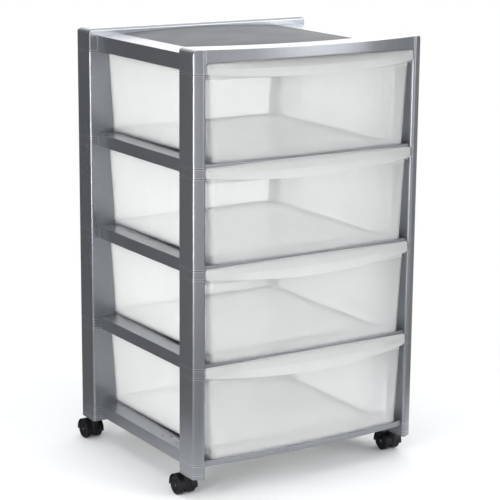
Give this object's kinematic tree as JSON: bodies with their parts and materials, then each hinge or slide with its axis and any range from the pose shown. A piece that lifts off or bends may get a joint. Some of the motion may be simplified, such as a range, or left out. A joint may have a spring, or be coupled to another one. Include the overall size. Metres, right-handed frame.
{
  "type": "drawer tower",
  "caption": "Drawer tower: frosted drawers with bowed handles between silver corner posts, flat grey top with raised rails, twin-wheel castors",
  "frame": {"origin": "on the floor, at the middle of the whole in X and Y; X to the right seen from the front, Y to the back, Z up", "axes": "the tower stands along Z; the drawers open towards -Y"},
  "size_m": [0.4106, 0.3954, 0.6685],
  "materials": {
    "silver_plastic": "satin metallic silver plastic",
    "grey_panel": "fine matt texture",
    "frosted_drawer": "frosted translucent plastic",
    "castor_hood": "fine grained black plastic",
    "castor_wheel": "smooth black plastic",
    "castor_steel": "turned steel"
  },
  "bodies": {
    "frame": {"top_frame": "silver_plastic", "top_panel": "grey_panel", "base_frame": "silver_plastic", "shelf_frame_1": "silver_plastic", "shelf_frame_2": "silver_plastic", "shelf_frame_3": "silver_plastic", "front_left_post_1": "silver_plastic", "front_left_post_2": "silver_plastic", "front_left_post_3": "silver_plastic", "front_left_post_4": "silver_plastic", "front_right_post_1": "silver_plastic", "front_right_post_2": "silver_plastic", "front_right_post_3": "silver_plastic", "front_right_post_4": "silver_plastic", "rear_left_post_1": "silver_plastic", "rear_left_post_2": "silver_plastic", "rear_left_post_3": "silver_plastic", "rear_left_post_4": "silver_plastic", "rear_right_post_1": "silver_plastic", "rear_right_post_2": "silver_plastic", "rear_right_post_3": "silver_plastic", "rear_right_post_4": "silver_plastic", "front_left_foot_cap": "silver_plastic", "front_right_foot_cap": "silver_plastic", "rear_left_foot_cap": "silver_plastic", "rear_right_foot_cap": "silver_plastic"},
    "drawer_1": {"drawer_1": "frosted_drawer"},
    "drawer_2": {"drawer_2": "frosted_drawer"},
    "drawer_3": {"drawer_3": "frosted_drawer"},
    "drawer_4": {"drawer_4": "frosted_drawer"},
    "front_left_castor": {"front_left_castor_stem": "castor_steel", "front_left_castor_hood": "castor_hood", "front_left_castor_axle": "castor_steel"},
    "front_left_wheel_left": {"front_left_wheel_left": "castor_wheel"},
    "front_left_wheel_right": {"front_left_wheel_right": "castor_wheel"},
    "front_right_castor": {"front_right_castor_stem": "castor_steel", "front_right_castor_hood": "castor_hood", "front_right_castor_axle": "castor_steel"},
    "front_right_wheel_left": {"front_right_wheel_left": "castor_wheel"},
    "front_right_wheel_right": {"front_right_wheel_right": "castor_wheel"},
    "rear_left_castor": {"rear_left_castor_stem": "castor_steel", "rear_left_castor_hood": "castor_hood", "rear_left_castor_axle": "castor_steel"},
    "rear_left_wheel_left": {"rear_left_wheel_left": "castor_wheel"},
    "rear_left_wheel_right": {"rear_left_wheel_right": "castor_wheel"},
    "rear_right_castor": {"rear_right_castor_stem": "castor_steel", "rear_right_castor_hood": "castor_hood", "rear_right_castor_axle": "castor_steel"},
    "rear_right_wheel_left": {"rear_right_wheel_left": "castor_wheel"},
    "rear_right_wheel_right": {"rear_right_wheel_right": "castor_wheel"}
  },
  "joints": [
    {"name": "drawer_1_slide", "type": "slide", "parent": "frame", "child": "drawer_1", "axis": [0, -1, 0], "range_m": [0, 0.25]},
    {"name": "drawer_2_slide", "type": "slide", "parent": "frame", "child": "drawer_2", "axis": [0, -1, 0], "range_m": [0, 0.25]},
    {"name": "drawer_3_slide", "type": "slide", "parent": "frame", "child": "drawer_3", "axis": [0, -1, 0], "range_m": [0, 0.25]},
    {"name": "drawer_4_slide", "type": "slide", "parent": "frame", "child": "drawer_4", "axis": [0, -1, 0], "range_m": [0, 0.25]},
    {"name": "front_left_castor_swivel", "type": "hinge", "parent": "frame", "child": "front_left_castor", "pos_m": [-0.1905, -0.1307, 0.04], "axis": [0, 0, 1], "continuous": true},
    {"name": "front_left_wheel_left_spin", "type": "hinge", "parent": "front_left_castor", "child": "front_left_wheel_left", "pos_m": [-0.2004, -0.1187, 0.0146], "axis": [1, 0, 0], "continuous": true},
    {"name": "front_left_wheel_right_spin", "type": "hinge", "parent": "front_left_castor", "child": "front_left_wheel_right", "pos_m": [-0.1806, -0.1187, 0.0146], "axis": [1, 0, 0], "continuous": true},
    {"name": "front_right_castor_swivel", "type": "hinge", "parent": "frame", "child": "front_right_castor", "pos_m": [0.1905, -0.1307, 0.04], "axis": [0, 0, 1], "continuous": true},
    {"name": "front_right_wheel_left_spin", "type": "hinge", "parent": "front_right_castor", "child": "front_right_wheel_left", "pos_m": [0.1806, -0.1187, 0.0146], "axis": [1, 0, 0], "continuous": true},
    {"name": "front_right_wheel_right_spin", "type": "hinge", "parent": "front_right_castor", "child": "front_right_wheel_right", "pos_m": [0.2004, -0.1187, 0.0146], "axis": [1, 0, 0], "continuous": true},
    {"name": "rear_left_castor_swivel", "type": "hinge", "parent": "frame", "child": "rear_left_castor", "pos_m": [-0.1905, 0.1683, 0.04], "axis": [0, 0, 1], "continuous": true},
    {"name": "rear_left_wheel_left_spin", "type": "hinge", "parent": "rear_left_castor", "child": "rear_left_wheel_left", "pos_m": [-0.2004, 0.1803, 0.0146], "axis": [1, 0, 0], "continuous": true},
    {"name": "rear_left_wheel_right_spin", "type": "hinge", "parent": "rear_left_castor", "child": "rear_left_wheel_right", "pos_m": [-0.1806, 0.1803, 0.0146], "axis": [1, 0, 0], "continuous": true},
    {"name": "rear_right_castor_swivel", "type": "hinge", "parent": "frame", "child": "rear_right_castor", "pos_m": [0.1905, 0.1683, 0.04], "axis": [0, 0, 1], "continuous": true},
    {"name": "rear_right_wheel_left_spin", "type": "hinge", "parent": "rear_right_castor", "child": "rear_right_wheel_left", "pos_m": [0.1806, 0.1803, 0.0146], "axis": [1, 0, 0], "continuous": true},
    {"name": "rear_right_wheel_right_spin", "type": "hinge", "parent": "rear_right_castor", "child": "rear_right_wheel_right", "pos_m": [0.2004, 0.1803, 0.0146], "axis": [1, 0, 0], "continuous": true}
  ]
}
